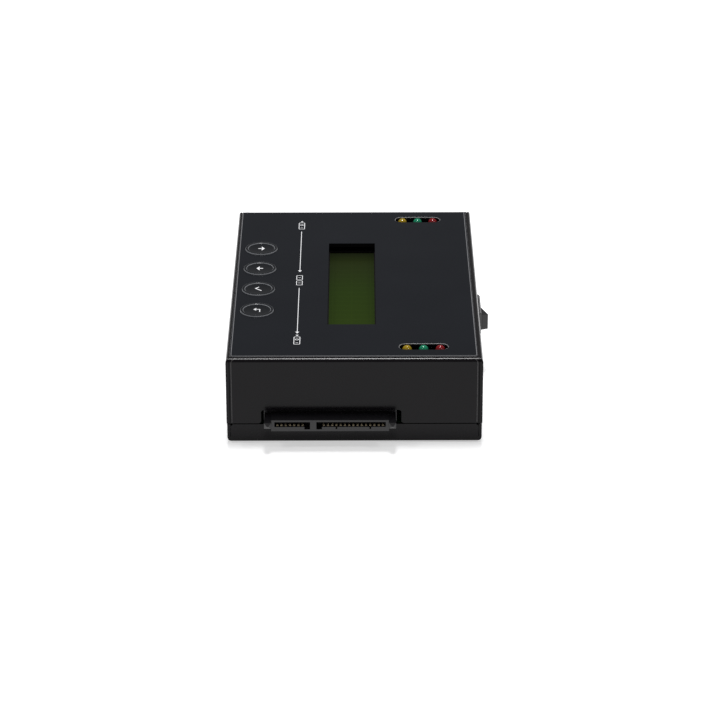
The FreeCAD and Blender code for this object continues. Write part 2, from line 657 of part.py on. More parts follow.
def make_components():
    """Chips, a crystal, an inductor, the connector between the boards, two capacitors."""
    for label, _ in COMPONENTS:
        x, y, length, width, height = ("dims.%s_%s" % (label, name) for name in
                                       ("x", "y", "length", "width", "height"))
        keep(box(label, "%s - %s / 2" % (x, length), "%s - %s / 2" % (y, width), BOARD_TOP,
                 length, width, height), label)
    keep(box("board_connector", "dims.connector_x - dims.connector_width / 2",
             "dims.connector_y - dims.connector_length / 2", BOARD_TOP,
             "dims.connector_width", "dims.connector_length",
             "%s - %s" % (PANEL_LOW, BOARD_TOP)), "board_connector")
    group("filter_capacitors", [
        rod("capacitor_can", "%s - dims.can_inset" % SIDE,
            "dims.can_y + %d * dims.can_pitch / 2" % back, BOARD_TOP, "dims.can_radius",
            "dims.can_height") for back in (-1, 1)])


# ---------------------------------------------------------------- display

def make_display():
    middle = ("dims.window_x", "dims.window_y")
    board = new_body("lcd_board")
    add(board, "z", LCD_LOW, LCD_TOP, centred(*middle, LCD_WIDTH, LCD_LENGTH))

    bezel = new_body("lcd_bezel")
    face_low = "(%s - dims.bezel_sheet)" % BEZEL_TOP
    inner = ["(%s - 2 * dims.bezel_sheet)" % size for size in (BEZEL_WIDTH, BEZEL_LENGTH)]
    view = ["(dims.%s - 2 * dims.bezel_lip)" % size for size in ("window_width", "window_length")]
    add(bezel, "z", LCD_TOP, BEZEL_TOP,
        centred(*middle, BEZEL_WIDTH, BEZEL_LENGTH, "dims.bezel_sheet"))
    cut(bezel, "z", "%s - dims.past" % LCD_TOP, face_low, centred(*middle, *inner))
    cut(bezel, "z", "%s - dims.past" % face_low, "%s + dims.past" % BEZEL_TOP,
        centred(*middle, *view))

    seat = ["(%s - 2 * dims.glass_play)" % size for size in inner]
    glass = new_body("lcd_glass")
    add(glass, "z", "%s - dims.glass" % face_low, face_low, centred(*middle, *seat))

    light = new_body("lcd_backlight")
    add(light, "z", LCD_TOP, "%s - dims.glass" % face_low, centred(*middle, *seat))

    strip_x = "dims.window_x - %s / 2 + dims.header_inset" % LCD_WIDTH
    strip_length = "(%d * dims.header_pitch)" % HEADER_PINS
    keep(box("lcd_header", "%s - dims.header_pitch / 2" % strip_x,
             "dims.window_y - %s / 2" % strip_length, PANEL_TOP,
             "dims.header_pitch", strip_length, "dims.lcd_lift"), "lcd_header")
    spread_x = "(%s / 2 - dims.lcd_support)" % LCD_WIDTH
    spread_y = "(%s / 2 - dims.lcd_support)" % LCD_LENGTH
    group("lcd_supports", [
        box("lcd_support", "dims.window_x + %d * %s - dims.lcd_support / 2" % (right, spread_x),
            "dims.window_y + %d * %s - dims.lcd_support / 2" % (back, spread_y), PANEL_TOP,
            "dims.lcd_support", "dims.lcd_support", "dims.lcd_lift")
        for right, back in CORNERS])


# ---------------------------------------------------------------- lamps

def make_lamp(label, x, y):
    """A 3 mm lamp: a barrel under a domed end."""
    lamp = new_body(label)
    revolve(lamp, [
        (0, 0), ("dims.lamp_radius", 0),
        ("dims.lamp_radius", "dims.lamp_height - dims.lamp_dome"),
        ("dims.lamp_tip", "dims.lamp_height"), (0, "dims.lamp_height")])
    put(lamp, x, y, LAMP_LOW)


def make_lamps():
    """Three lamps at each end, held over the panel board by a moulded holder."""
    height = "%s - %s" % (LAMP_LOW, PANEL_TOP)
    for end, side in (("target", -1), ("source", 1)):
        y = "%d * %s" % (side, SLOT_Y)
        holder = new_body("%s_lamp_holder" % end)
        leads, ways = [], []
        for index, colour in enumerate(LAMPS):
            x = "%s + dims.lamp_pitch * %d" % (SLOT_X, index - 1)
            make_lamp("%s_lamp_%s" % (end, colour), x, y)
            for lead in (-1, 1):
                lead_x = "%s + %d * dims.lead_spacing / 2" % (x, lead)
                way = "(dims.lead_width + 2 * dims.lead_play)"
                ways.append(centred(lead_x, y, way, way))
                leads.append(box("lead", "%s - dims.lead_width / 2" % lead_x,
                                 "%s - dims.lead_width / 2" % y, PANEL_TOP,
                                 "dims.lead_width", "dims.lead_width", height))
        add(holder, "z", PANEL_TOP, LAMP_LOW,
            centred(SLOT_X, y, "dims.slot_length", "dims.slot_width"), *ways)
        group("%s_lamp_leads" % end, leads)


# ---------------------------------------------------------------- drive ports

def contact_places():
    """The seven signal contacts, a gap, then the fifteen power contacts."""
    for index in range(SIGNAL_CONTACTS):
        yield "-%s / 2 + %d * dims.contact_pitch" % (CONTACT_SPAN, index)
    for index in range(POWER_CONTACTS):
        yield "%s / 2 - %d * dims.contact_pitch" % (CONTACT_SPAN, POWER_CONTACTS - 1 - index)


def port_slots():
    """The L shaped signal slot and the power slot, each with its key at the middle."""
    places = list(contact_places())
    top = "(dims.port_face - dims.port_wall)"
    low = PORT_FLOOR
    key = "(%s - dims.port_key)" % top
    outer_left = "%s - dims.slot_end" % places[0]
    inner_left = "%s + dims.slot_key_end" % places[SIGNAL_CONTACTS - 1]
    inner_right = "%s - dims.slot_key_end" % places[SIGNAL_CONTACTS]
    outer_right = "%s + dims.slot_end" % places[-1]
    signal = [(outer_left, low), ("%s - dims.port_key_width" % inner_left, low),
              ("%s - dims.port_key_width" % inner_left, key), (inner_left, key),
              (inner_left, top), (outer_left, top)]
    power = [(inner_right, key), ("%s + dims.port_key_width" % inner_right, key),
             ("%s + dims.port_key_width" % inner_right, low), (outer_right, low),
             (outer_right, top), (inner_right, top)]
    return signal, power


def place_port(item, side):
    """Stand a port's piece on the board at one end of the case, mouth outwards."""
    put(item, "dims.port_x", "%d * (%s + dims.port_mouth)" % (side, END), BOARD_TOP)
    item.setExpression("Placement.Rotation.Angle", "90deg + 90deg * %d" % side)


def make_receptacle(end, side):
    """The moulded housing, drawn with its mouth at y = 0 and its base behind it."""
    housing = new_body("%s_receptacle" % end)
    place_port(housing, side)
    base_front = "(dims.port_mouth + dims.sheet + dims.port_play)"
    base_rear = "(%s + dims.port_base_depth)" % base_front
    add(housing, "y", 0, base_rear,
        rect("-%s" % PORT_HALF, 0, PORT_HALF, "dims.port_face"))
    post_top = "(dims.port_face - dims.post_drop)"
    for post in (-1, 1):
        inner = "%d * %s" % (post, PORT_HALF)
        outer = "%d * (%s - dims.post_side)" % (post, PORT_WIDE)
        left, right = (inner, outer) if post > 0 else (outer, inner)
        add(housing, "y", "-dims.post_reach", base_front,
            rect(left, "%s - dims.post_height" % post_top, right, post_top))
    dress(housing, "Chamfer", "dims.post_tip",
          lambda edge: near(edge.CenterOfMass.y, "-dims.post_reach"))
    add(housing, "y", base_front, base_rear,
        rect("-%s" % PORT_WIDE, 0, PORT_WIDE, "dims.port_base_height"))
    signal, power = port_slots()
    cut(housing, "y", "-dims.past", "dims.port_slot_depth", signal, power)
    places = list(contact_places())
    runs = [(places[0], places[SIGNAL_CONTACTS - 1]), (places[SIGNAL_CONTACTS], places[-1])]
    cut(housing, "y", "dims.port_slot_depth - dims.past / 2", "%s + dims.past" % base_rear,
        *[rect("%s - dims.contact_width" % first, "%s - dims.contact_play" % CONTACT_LOW,
               "%s + dims.contact_width" % last, "%s + dims.contact_play" % CONTACT_TOP)
          for first, last in runs])
    nicks = [places[SIGNAL_CONTACTS + 3], places[SIGNAL_CONTACTS + 11]]
    cut(housing, "y", "-dims.past", "dims.port_slot_depth",
        *[rect("%s - dims.nick_width / 2" % x, "%s - dims.nick_depth" % PORT_FLOOR,
               "%s + dims.nick_width / 2" % x, CONTACT_LOW) for x in nicks])


def make_contacts(end, side):
    """Spring contacts with a raised nose, which run back and bend down to the board."""
    base_rear = "(dims.port_mouth + dims.sheet + dims.port_play + dims.port_base_depth)"
    leg = "(%s + dims.contact_clear)" % base_rear
    back = "(%s + dims.contact_sheet)" % leg
    profile = [("dims.contact_tip", CONTACT_LOW), (leg, CONTACT_LOW), (leg, 0), (back, 0),
               (back, CONTACT_TOP),
               ("dims.contact_tip + 2 * dims.contact_ramp", CONTACT_TOP),
               ("dims.contact_tip + dims.contact_ramp", "%s + dims.contact_rise" % CONTACT_TOP)]
    outline = doc.addObject("Sketcher::SketchObject", "%s_contact_outline" % end)
    draw_path(outline, profile)
    outline.Placement = FreeCAD.Placement(FreeCAD.Vector(),
                                          FreeCAD.Rotation(FreeCAD.Vector(1, 1, 1), 120))
    pieces = []
    for x in contact_places():
        strip = doc.addObject("Part::Extrusion", "contact")
        strip.Base = outline
        strip.DirMode = "Custom"
        strip.Dir = FreeCAD.Vector(1, 0, 0)
        strip.Solid = True
        bind(strip, LengthFwd="dims.contact_width")
        put(strip, "%s - dims.contact_width / 2" % x)
        pieces.append(strip)
    contacts = group("%s_contacts" % end, pieces)
    place_port(contacts, side)


# ---------------------------------------------------------------- power switch

def make_switch_housing():
    housing = new_body("switch_housing")
    middle = ("dims.rocker_y", "dims.rocker_z")
    frame_out = "%s + dims.frame_proud" % SIDE
    add(housing, "x", SIDE, frame_out,
        centred(*middle, "(%s + 2 * dims.frame_end)" % HOUSING_LENGTH,
                "(%s + 2 * dims.frame_side)" % HOUSING_WIDTH, "dims.frame_bevel"))
    dress(housing, "Chamfer", "dims.frame_bevel",
          lambda edge: near(edge.CenterOfMass.x, frame_out))
    add(housing, "x", "%s - dims.housing_depth" % SIDE, SIDE,
        centred(*middle, HOUSING_LENGTH, HOUSING_WIDTH))
    well = ("2 * (%s + dims.rocker_play)" % ROCKER_REACH,
            "(dims.rocker_width + 2 * dims.rocker_play)")
    cut(housing, "x", "%s - dims.rocker_belly - dims.rocker_under" % ROCKER_PIVOT,
        "%s + dims.past" % frame_out, centred(*middle, *well))
    ear = "(dims.rocker_width / 2 + dims.trunnion_length + 2 * dims.trunnion_play)"
    cut(housing, "z", "dims.rocker_z - %s" % ear, "dims.rocker_z + %s" % ear,
        circle(ROCKER_PIVOT, "dims.rocker_y", "dims.trunnion_radius + dims.trunnion_play"))


def make_power_rocker():
    """The rocker, drawn level about its own pivot and then tipped to its rest."""
    rocker = new_body("power_rocker")
    crest = "(dims.rocker_face + dims.rocker_half * tan(dims.rocker_angle * 1deg))"
    belly = "-dims.rocker_belly"
    half = "dims.rocker_half"
    flank = "(%s - dims.rocker_draft)" % ROCKER_REACH
    lip = "dims.rocker_face - dims.rocker_lip"
    add(rocker, "z", "-dims.rocker_width / 2", "dims.rocker_width / 2",
        [("dims.rocker_face", 0), (crest, half), (lip, flank), ("-dims.rocker_skirt", flank),
         (belly, "%s / 3" % half), (belly, "-%s / 3" % half),
         ("-dims.rocker_skirt", "-%s" % flank), (lip, "-%s" % flank), (crest, "-%s" % half)])
    pin = "(dims.rocker_width / 2 + dims.trunnion_length)"
    add(rocker, "z", "-%s" % pin, pin, circle(0, 0, "dims.trunnion_radius"))
    put(rocker, ROCKER_PIVOT, "dims.rocker_y", "dims.rocker_z")
    rocker.setExpression("Placement.Rotation.Angle", "dims.rocker_angle * 1deg")


def make_switch_terminals():
    """Flat tabs that leave the housing's back and bend down to the main board."""
    rear = "(%s - dims.housing_depth)" % SIDE
    tabs = []
    for side in (-1, 1):
        y = "dims.rocker_y + %d * dims.tab_spacing / 2 - dims.tab_width / 2" % side
        arm = box("tab_arm", "%s - dims.tab_reach" % rear, y, "dims.rocker_z",
                  "dims.tab_reach", "dims.tab_width", "dims.tab_sheet")
        leg = box("tab_leg", "%s - dims.tab_reach" % rear, y, BOARD_TOP, "dims.tab_sheet",
                  "dims.tab_width", "dims.rocker_z + dims.tab_sheet - %s" % BOARD_TOP)
        tabs.append(joined("terminal", arm, leg))
    group("switch_terminals", tabs)


# ---------------------------------------------------------------- power jack

def make_power_jack():
    jack = new_body("power_jack")
    top = "(%s + dims.jack_height)" % BOARD_TOP
    front = "(%s - dims.jack_front)" % JACK_FACE
    rear = "(%s - dims.jack_depth)" % JACK_FACE
    middle = ("dims.jack_y", JACK_AXIS)
    add(jack, "x", front, JACK_FACE,
        rect("dims.jack_y - dims.jack_width / 2", BOARD_TOP,
             "dims.jack_y + dims.jack_width / 2", top))
    waist = "(dims.jack_width / 2 - dims.jack_waist)"
    shoulder = "%s * dims.jack_round" % waist
    add(jack, "x", rear, front,
        [("dims.jack_y - %s" % waist, BOARD_TOP), ("dims.jack_y + %s" % waist, BOARD_TOP),
         ("dims.jack_y + %s" % waist, "%s - dims.jack_waist" % top, shoulder),
         ("dims.jack_y - %s" % waist, "%s - dims.jack_waist" % top, shoulder)])
    cut(jack, "x", "%s - dims.jack_bore_depth" % JACK_FACE, "%s + dims.past" % JACK_FACE,
        circle(*middle, "dims.jack_bore"))

    pin = new_body("jack_pin")
    add(pin, "x", "%s - dims.jack_bore_depth" % JACK_FACE,
        "%s - dims.jack_pin_recess" % JACK_FACE, circle(*middle, "dims.jack_pin"))

    tab_x = "(%s - dims.jack_tab)" % rear
    group("jack_terminals", [
        box("rear_tab", tab_x, "dims.jack_y - dims.tab_width / 2", BOARD_TOP,
            "dims.jack_tab", "dims.tab_width", "dims.jack_axis"),
        box("side_tab", "%s + dims.jack_tab_place" % rear,
            "dims.jack_y - %s - dims.jack_tab" % waist, BOARD_TOP, "dims.tab_width",
            "dims.jack_tab", "dims.jack_axis / 2")])


# ---------------------------------------------------------------- build and write

make_top_cover()
make_bottom_tray()
make_overlay_film()
make_rubber_feet()
make_standoffs()
make_case_screws()
make_keys()
make_main_board()
make_panel_board()
make_components()
make_display()
make_lamps()
for port_end, port_side in (("target", -1), ("source", 1)):
    make_receptacle(port_end, port_side)
    make_contacts(port_end, port_side)
make_switch_housing()
make_power_rocker()
make_switch_terminals()
make_power_jack()
doc.recompute()

for item in doc.Objects:
    if "Invalid" in item.State or "Error" in item.State:
        raise RuntimeError("%s (%s) failed" % (item.Label, item.Name))
    if item.TypeId == "PartDesign::Pocket":
        if item.Shape.Volume > item.BaseFeature.Shape.Volume - 1e-4:
            raise RuntimeError("%s cuts nothing" % item.Name)
for item in sub_parts:
    if item.Shape.isNull() or not item.Shape.isValid():
        raise RuntimeError("%s has no valid shape" % item.Label)

os.makedirs("parts", exist_ok=True)
for item in sub_parts:
    item.Shape.exportStep("parts/%s.step" % item.Label)
print("%d sub-parts" % len(sub_parts))
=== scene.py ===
"""Looks of the drive duplicator: its finishes, printed marks, lamps, keys and studio.

Lengths are in metres, and +Z is up.  The target port faces -Y, the source port +Y,
and the power rocker and power jack are in the +X side.
"""

import json
import math

import bmesh
import bpy
from mathutils import Matrix, Vector


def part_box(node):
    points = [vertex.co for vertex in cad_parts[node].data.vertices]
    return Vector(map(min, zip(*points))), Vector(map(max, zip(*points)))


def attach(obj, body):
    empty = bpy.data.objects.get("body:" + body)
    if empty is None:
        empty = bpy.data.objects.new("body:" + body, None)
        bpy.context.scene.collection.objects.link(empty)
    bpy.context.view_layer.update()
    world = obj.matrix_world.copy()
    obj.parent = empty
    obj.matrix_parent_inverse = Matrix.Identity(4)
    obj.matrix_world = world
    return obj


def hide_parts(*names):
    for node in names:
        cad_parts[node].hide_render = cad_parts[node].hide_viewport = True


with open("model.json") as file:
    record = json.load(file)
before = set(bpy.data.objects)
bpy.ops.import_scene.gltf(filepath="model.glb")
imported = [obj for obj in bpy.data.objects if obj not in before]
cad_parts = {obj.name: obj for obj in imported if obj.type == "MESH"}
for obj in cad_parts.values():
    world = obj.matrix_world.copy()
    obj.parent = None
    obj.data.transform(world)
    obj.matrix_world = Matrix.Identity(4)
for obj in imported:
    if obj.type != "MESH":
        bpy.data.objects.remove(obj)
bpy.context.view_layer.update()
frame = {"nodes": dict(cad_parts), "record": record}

MM = 0.001
KEYS = ("up", "down", "enter", "back")
ENDS = ("target", "source")
LAMPS = ("yellow", "green", "red")
BODY = "case"

INK = 0.03 * MM             # thickness of printed marks
KEY_DISH = 0.25 * MM        # depth of the keys' dish under their ring


# ---------------------------------------------------------------- finishes

class Field:
    """A number that varies over a surface: one output in a node network."""

    def __init__(self, network, socket):
        self.network = network
        self.socket = socket

    def maths(self, operation, *values):
        """A sum, product or other operation on fields and numbers."""
        return self.network.node("ShaderNodeMath", {"operation": operation},
                                 dict(enumerate(values)))

    def root(self):
        """The square root."""
        return self.maths("SQRT", self)

    def __add__(self, other):
        return self.maths("ADD", self, other)

    def __sub__(self, other):
        return self.maths("SUBTRACT", self, other)

    def __rsub__(self, other):
        return self.maths("SUBTRACT", other, self)

    def __mul__(self, other):
        return self.maths("MULTIPLY", self, other)

    def __truediv__(self, other):
        return self.maths("DIVIDE", self, other)

    def __gt__(self, other):
        return self.maths("GREATER_THAN", self, other)

    def __lt__(self, other):
        return self.maths("LESS_THAN", self, other)

    def __abs__(self):
        return self.maths("ABSOLUTE", self)

    __radd__ = __add__
    __rmul__ = __mul__

    def clamped(self):
        """The value, kept from 0 to 1."""
        return self.maths("MINIMUM", self.maths("MAXIMUM", self, 0.0), 1.0)

    def wrapped(self, step):
        """Distance from the middle of each of the equal steps that cover an axis."""
        return abs(self.maths("FRACT", self / step) - 0.5) * step


class Network:
    """The nodes of a material or of the sky."""

    def __init__(self, owner):
        owner.use_nodes = True
        self.tree = owner.node_tree
        self.tree.nodes.clear()

    def node(self, kind, settings=None, values=None, output=0):
        """Add a node: settings first, then the values or links of its sockets."""
        made = self.tree.nodes.new(kind)
        for name, setting in (settings or {}).items():
            if name == "stops":
                self.set_stops(made.color_ramp.elements, setting)
            else:
                setattr(made, name, setting)
        for name, given in (values or {}).items():
            if isinstance(given, Field):
                self.tree.links.new(given.socket, made.inputs[name])
            else:
                made.inputs[name].default_value = given
        return Field(self, made.outputs[output]) if len(made.outputs) else None

    def set_stops(self, elements, stops):
        """Give a ramp its stops, each a place from 0 to 1 and a colour."""
        while len(elements) < len(stops):
            elements.new(1.0)
        for element, (place, colour) in zip(elements, stops):
            element.position = place
            element.color = colour


class Finish(Network):
    """A material of this box."""

    def __init__(self, name):
        self.material = bpy.data.materials.new(name)
        super().__init__(self.material)

    def place(self, axis):
        """X, Y or Z of the surface in metres, in the frame of the object."""
        coordinates = self.node("ShaderNodeTexCoord", output="Object")
        return self.node("ShaderNodeSeparateXYZ", None, {"Vector": coordinates}, axis)

    def grain(self, size, detail=2.0, roughness=0.5, stretch=(1, 1, 1)):
        """Noise from 0 to 1 whose lumps are about one size across."""
        coordinates = self.node("ShaderNodeTexCoord", output="Object")
        spread = self.node("ShaderNodeMapping", None, {"Vector": coordinates, "Scale": stretch})
        return self.node("ShaderNodeTexNoise", None, {
            "Vector": spread, "Scale": 1 / size, "Detail": detail, "Roughness": roughness})

    def blend(self, factor, first, second):
        """A colour between two colours."""
        return self.node("ShaderNodeMix", {"data_type": "RGBA"},
                         {0: factor, 6: first, 7: second}, 2)

    def ramp(self, factor, *stops):
        """A colour that runs through several stops."""
        return self.node("ShaderNodeValToRGB", {"stops": stops}, {"Fac": factor})

    def bump(self, height, distance, strength=1.0):
        """The normals of a relief: a field of height, and how far it stands out."""
        return self.node("ShaderNodeBump", None, {
            "Height": height, "Distance": distance, "Strength": strength})

    def surface(self, **inputs):
        """The shader; an underscore in a keyword stands for a space."""
        values = {name.replace("_", " "): given for name, given in inputs.items()}
        shader = self.node("ShaderNodeBsdfPrincipled", None, values)
        self.node("ShaderNodeOutputMaterial", None, {"Surface": shader})
        return self.material


def tone(red, green, blue):
    """A screen colour, from 0 to 255, made linear by the standard sRGB curve."""
    parts = []
    for part in (red, green, blue):
        level = part / 255
        parts.append(level / 12.92 if level < 0.04045 else ((level + 0.055) / 1.055) ** 2.4)
    return (*parts, 1.0)


def key_centre(key):
    """X and Y of a key's middle."""
    low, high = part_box("%s_button" % key)
    return (low.x + high.x) / 2, (low.y + high.y) / 2


def powder_coat():
    """Black powder coat: fine pebbles that break up its gloss, over faint clouds."""
    finish = Finish("black_powder_coat")
    pebble = finish.grain(size=0.3 * MM, detail=3.0, roughness=0.6)
    cloud = finish.grain(size=14 * MM)
    return finish.surface(
        Base_Color=finish.blend(cloud, tone(11, 9, 12), tone(16, 14, 17)),
        Roughness=0.14 + 0.08 * pebble, Specular_IOR_Level=0.15,
        Normal=finish.bump(pebble, distance=0.015 * MM, strength=0.3))


def film_tooth(finish):
    """The fine tooth of satin film, and the normals that it gives."""
    tooth = finish.grain(size=0.16 * MM, roughness=0.6)
    return tooth, finish.bump(tooth, distance=0.006 * MM, strength=0.5)


def overlay_film():
    """Satin film, printed charcoal, over faint clouds."""
    finish = Finish("charcoal_overlay_film")
    tooth, normals = film_tooth(finish)
    cloud = finish.grain(size=22 * MM)
    return finish.surface(
        Base_Color=finish.blend(cloud, tone(16, 18, 23), tone(22, 24, 29)),
        Roughness=0.24 + 0.1 * tooth, Specular_IOR_Level=0.07, Normal=normals)


def key_film():
    """Embossed film over the keys, with a painted highlight, pale and broken up, along both edges
    of its raised ring.
    """
    finish = Finish("key_film")
    ring_edges = (5.16 * MM, 4.28 * MM)
    # width of the painted highlight at each edge of the ring
    ring_highlight_width = 0.16 * MM
    centres = [Vector(key_centre(key)) for key in KEYS]
    pitch = (centres[0] - centres[-1]).length / (len(KEYS) - 1)
    across = finish.place("X") - centres[0].x
    along = (finish.place("Y") - (centres[0].y - pitch / 2)).wrapped(pitch)
    radius = (across * across + along * along).root()
    ring_highlight = sum(((1.0 - abs(radius - edge) / ring_highlight_width).clamped()
                  for edge in ring_edges), 0.0)
    tooth, normals = film_tooth(finish)
    film = finish.blend(finish.grain(size=5 * MM), tone(14, 16, 20), tone(20, 22, 26))
    # painted highlight: the ring's edges are made pale, broken up by noise, where the ring catches
    # the light
    wear_and_highlight = ring_highlight * (0.6 + 0.5 * finish.grain(size=3 * MM))
    return finish.surface(
        Base_Color=finish.blend(wear_and_highlight.clamped(), film, tone(132, 134, 138)),
        Roughness=0.16 + 0.1 * tooth, Specular_IOR_Level=0.12, Normal=normals)


def moulded_black(name, low, high, roughness, gloss):
    """Moulded black plastic with a fine spark-eroded grain."""
    finish = Finish(name)
    grain = finish.grain(size=0.22 * MM, detail=3.0, roughness=0.55)
    return finish.surface(
        Base_Color=finish.blend(finish.grain(size=6 * MM), low, high),
        Roughness=roughness + 0.12 * grain, Specular_IOR_Level=gloss,
        Normal=finish.bump(grain, distance=0.01 * MM, strength=0.5))


def printed_ink(name, colour, wear_and_highlight):
    """Screen printed ink, worn in specks."""
    finish = Finish(name)
    speck = finish.grain(size=0.09 * MM)
    whole = (speck * 1.6 - 0.35).clamped()
    return finish.surface(Base_Color=finish.blend(whole, wear_and_highlight, colour),
                          Roughness=0.5 + 0.1 * speck)


def metal(name, low, high, roughness, stretch=(1, 1, 1)):
    """Plated or bare metal with a fine grain, drawn out into streaks where stretched."""
    finish = Finish(name)
    grain = finish.grain(size=0.5 * MM, detail=3.0, roughness=0.6, stretch=stretch)
    return finish.surface(
        Base_Color=finish.blend(grain, low, high), Metallic=1.0,
        Roughness=roughness + 0.15 * grain,
        Normal=finish.bump(grain, distance=0.004 * MM, strength=0.4))


def circuit_board():
    """Green solder resist that shows the copper tracks under it."""
    finish = Finish("green_solder_resist")
    pitch = 1.27 * MM
    half_track = 0.2 * MM
    patches = finish.grain(size=9 * MM, detail=0.0)
    along = (finish.place("X").wrapped(pitch) < half_track) * (patches > 0.52)
    across = (finish.place("Y").wrapped(pitch) < half_track) * (patches < 0.46)
    copper = (along + across).clamped()
    return finish.surface(
        Base_Color=finish.blend(copper, tone(10, 56, 32), tone(24, 86, 50)),
        Roughness=0.32 + 0.1 * finish.grain(size=0.6 * MM),
        Normal=finish.bump(copper, distance=0.03 * MM, strength=0.6))


def display_glass():
    """Unlit yellow-green display: two rows of sixteen character cells, faintly seen, with painted
    shade that darkens it towards its far end and its long sides.
    """
    finish = Finish("unlit_display")
    row_pitch, half_row = 5.95 * MM, 2.78 * MM
    cell_pitch, half_cell = 3.55 * MM, 1.48 * MM
    low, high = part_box("lcd_glass")
    across = finish.place("X") - (low.x + high.x) / 2
    along = finish.place("Y") - (low.y + high.y) / 2
    row = across.wrapped(row_pitch) < half_row
    cell = along.wrapped(cell_pitch) < half_cell
    # painted shade: the green darkens towards the far end, where the window's far wall shades the
    # glass
    green = finish.ramp((along / (high.y - low.y) + 0.5).clamped(),
                        (0.06, tone(37, 49, 10)), (0.16, tone(39, 54, 16)),
                        (0.5, tone(36, 51, 16)), (0.84, tone(33, 41, 17)),
                        (0.94, tone(24, 28, 15)))
    # painted shade along both long sides, under the window's side walls
    side_shade = (abs(across) / (high.x - low.x) * 2.0).clamped()
    shaded = finish.blend(side_shade * side_shade * side_shade * 0.8, green, tone(20, 26, 12))
    cells = (row * cell).clamped() * 0.1
    return finish.surface(
        Base_Color=finish.blend(cells, shaded, tone(16, 24, 10)),
        Roughness=0.2 + 0.06 * finish.grain(size=0.5 * MM), Specular_IOR_Level=0.01)


def tinted_resin(name, colour, shaded_colour):
    """Tinted clear resin of a lamp, with painted light: lighter towards the top of its dome,
    darker below.
    """
    finish = Finish(name)
    glow_height = 2.4 * MM
    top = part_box("target_lamp_red")[1].z
    # painted light: the colour runs from the darker tint below up to the lighter one over the
    # dome's top
    painted_glow = ((finish.place("Z") - (top - glow_height)) / glow_height).clamped()
    return finish.surface(
        Base_Color=finish.blend(painted_glow, shaded_colour, colour),
        Roughness=0.3 + 0.04 * finish.grain(size=0.4 * MM), Specular_IOR_Level=0.05,
        Transmission_Weight=0.1, Coat_Weight=0.5, Coat_Roughness=0.02)


def rubber():
    """Matt black rubber with a moulded grain."""
    finish = Finish("foot_rubber")
    grain = finish.grain(size=0.3 * MM, detail=3.0)
    return finish.surface(
        Base_Color=finish.blend(grain, tone(22, 22, 22), tone(34, 34, 34)),
        Roughness=0.75 + 0.15 * grain, Normal=finish.bump(grain, distance=0.03 * MM))


def white_nylon():
    """Natural nylon of the lamp holders, slightly cloudy."""
    finish = Finish("white_nylon")
    cloud = finish.grain(size=3 * MM)
    return finish.surface(
        Base_Color=finish.blend(cloud, tone(206, 202, 190), tone(222, 219, 208)),
        Roughness=0.42 + 0.1 * cloud,
        Normal=finish.bump(finish.grain(size=0.3 * MM), distance=0.01 * MM))


def make_finishes():
    """The finish of each material slot of the record."""
    return {
        "cover_paint": powder_coat(),
        "panel_film": overlay_film(),
        "key_film": key_film(),
        "display_glass": display_glass(),
        "bezel_steel": metal("black_coated_steel", tone(24, 22, 23), tone(34, 31, 33),
                             roughness=0.5),
        "circuit_board": circuit_board(),
        "black_moulding": moulded_black("black_moulding", tone(12, 11, 14), tone(18, 17, 20),
                                        roughness=0.26, gloss=0.46),
        "chip_resin": moulded_black("chip_resin", tone(26, 26, 28), tone(40, 40, 42),
                                    roughness=0.55, gloss=0.4),
        "white_nylon": white_nylon(),
        "tinned_metal": metal("tinned_metal", tone(176, 176, 174), tone(212, 212, 208),
                              roughness=0.24),
        "gold_plate": metal("gold_plate", tone(244, 222, 176), tone(255, 243, 212),
                            roughness=0.16),
        "plated_steel": metal("plated_steel", tone(150, 150, 150), tone(196, 196, 194),
                              roughness=0.28),
        "aluminium_can": metal("aluminium_can", tone(168, 170, 172), tone(204, 206, 208),
                               roughness=0.3, stretch=(1, 1, 0.1)),
        "lamp_yellow": tinted_resin("yellow_resin", tone(150, 124, 4), tone(84, 66, 2)),
        "lamp_green": tinted_resin("green_resin", tone(1, 126, 90), tone(1, 58, 42)),
        "lamp_red": tinted_resin("red_resin", tone(124, 2, 12), tone(58, 1, 5)),
        "foot_rubber": rubber(),
    }


def paint_nodes(finishes):
    """Give each CAD node that stays its finish."""
    for row in frame["record"]["subparts"]:
        for holder in frame["nodes"][row["node"]].material_slots:
            holder.material = finishes[row["material_slot"]]


# ---------------------------------------------------------------- pieces

def ride_mesh(name, mesh, material, body, smooth=False):
    """Turn a mesh into a piece that rides on a body."""
    for polygon in mesh.polygons:
        polygon.use_smooth = smooth
    mesh.materials.append(material)
    piece = bpy.data.objects.new(name, mesh)
    bpy.context.scene.collection.objects.link(piece)
    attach(piece, body)
    return piece


def make_piece(name, vertices, faces, material, body=BODY, smooth=False):
    """A piece from its corners and faces."""
    mesh = bpy.data.meshes.new(name)
    mesh.from_pydata([tuple(vertex) for vertex in vertices], [], faces)
    mesh.validate()
    return ride_mesh(name, mesh, material, body, smooth)


